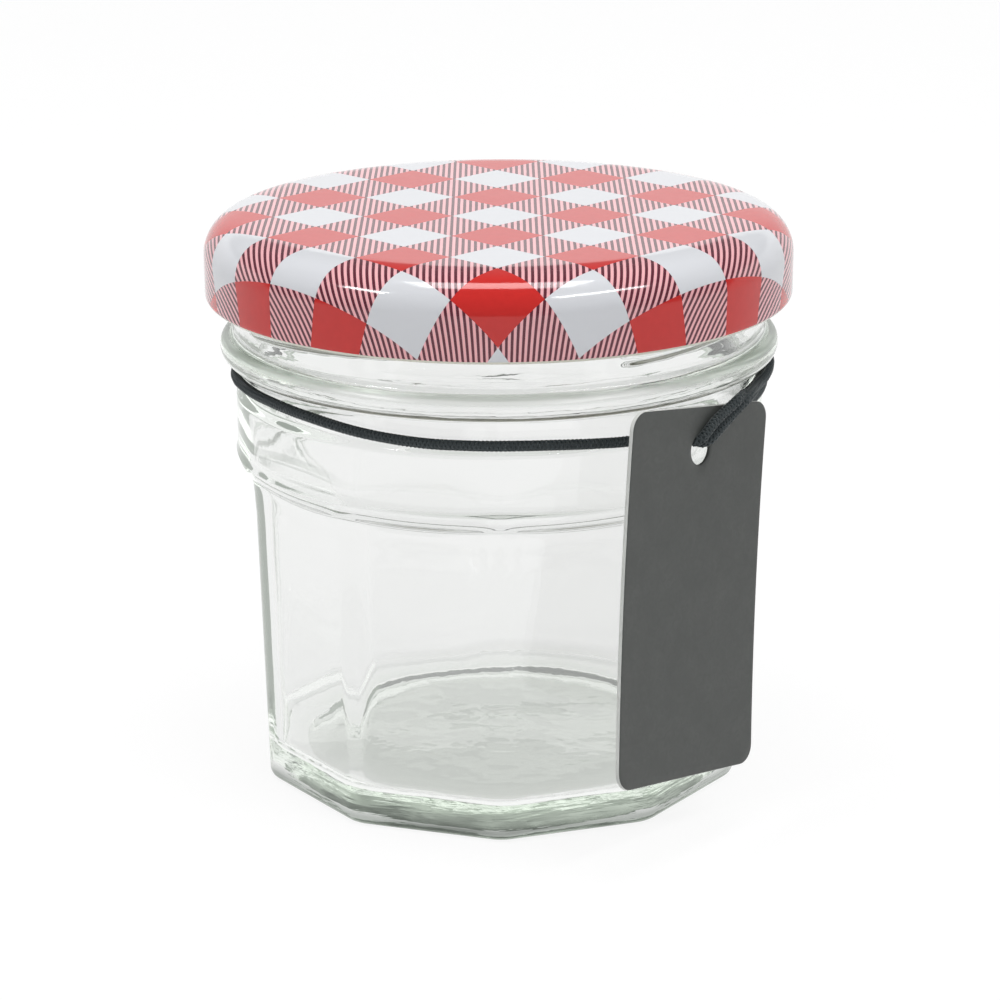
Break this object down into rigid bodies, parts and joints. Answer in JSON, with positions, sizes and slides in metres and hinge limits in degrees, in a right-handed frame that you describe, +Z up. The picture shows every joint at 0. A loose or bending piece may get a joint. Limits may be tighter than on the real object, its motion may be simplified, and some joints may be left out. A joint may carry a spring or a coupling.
{
  "type": "glass jar with lid",
  "caption": "Small ten-sided glass jar with a twist-off checked lid, an elastic cord round the neck and a card hang tag.",
  "frame": {"origin": "centre of the ring that the jar stands on, at the table", "axes": "+Z up along the jar's axis; -Y towards the side with a corner of the jar in front; +X towards the side that the tag hangs on"},
  "size_m": [0.0732, 0.0813, 0.0718],
  "materials": {
    "clear_glass": "clear polished container glass, slightly green where it is thick",
    "lid_enamel": "glossy lacquered tinplate with a red and white gingham print",
    "gasket_compound": "matte soft sealing compound",
    "elastic_cord": "braided elastic cord, very dark green",
    "tag_card": "matte dark grey printed card with a pale cut edge"
  },
  "bodies": {
    "root": {"glass_jar": "clear_glass", "lid": "lid_enamel", "lid_gasket": "gasket_compound", "neck_string": "elastic_cord", "hang_tag": "tag_card"}
  },
  "joints": []
}
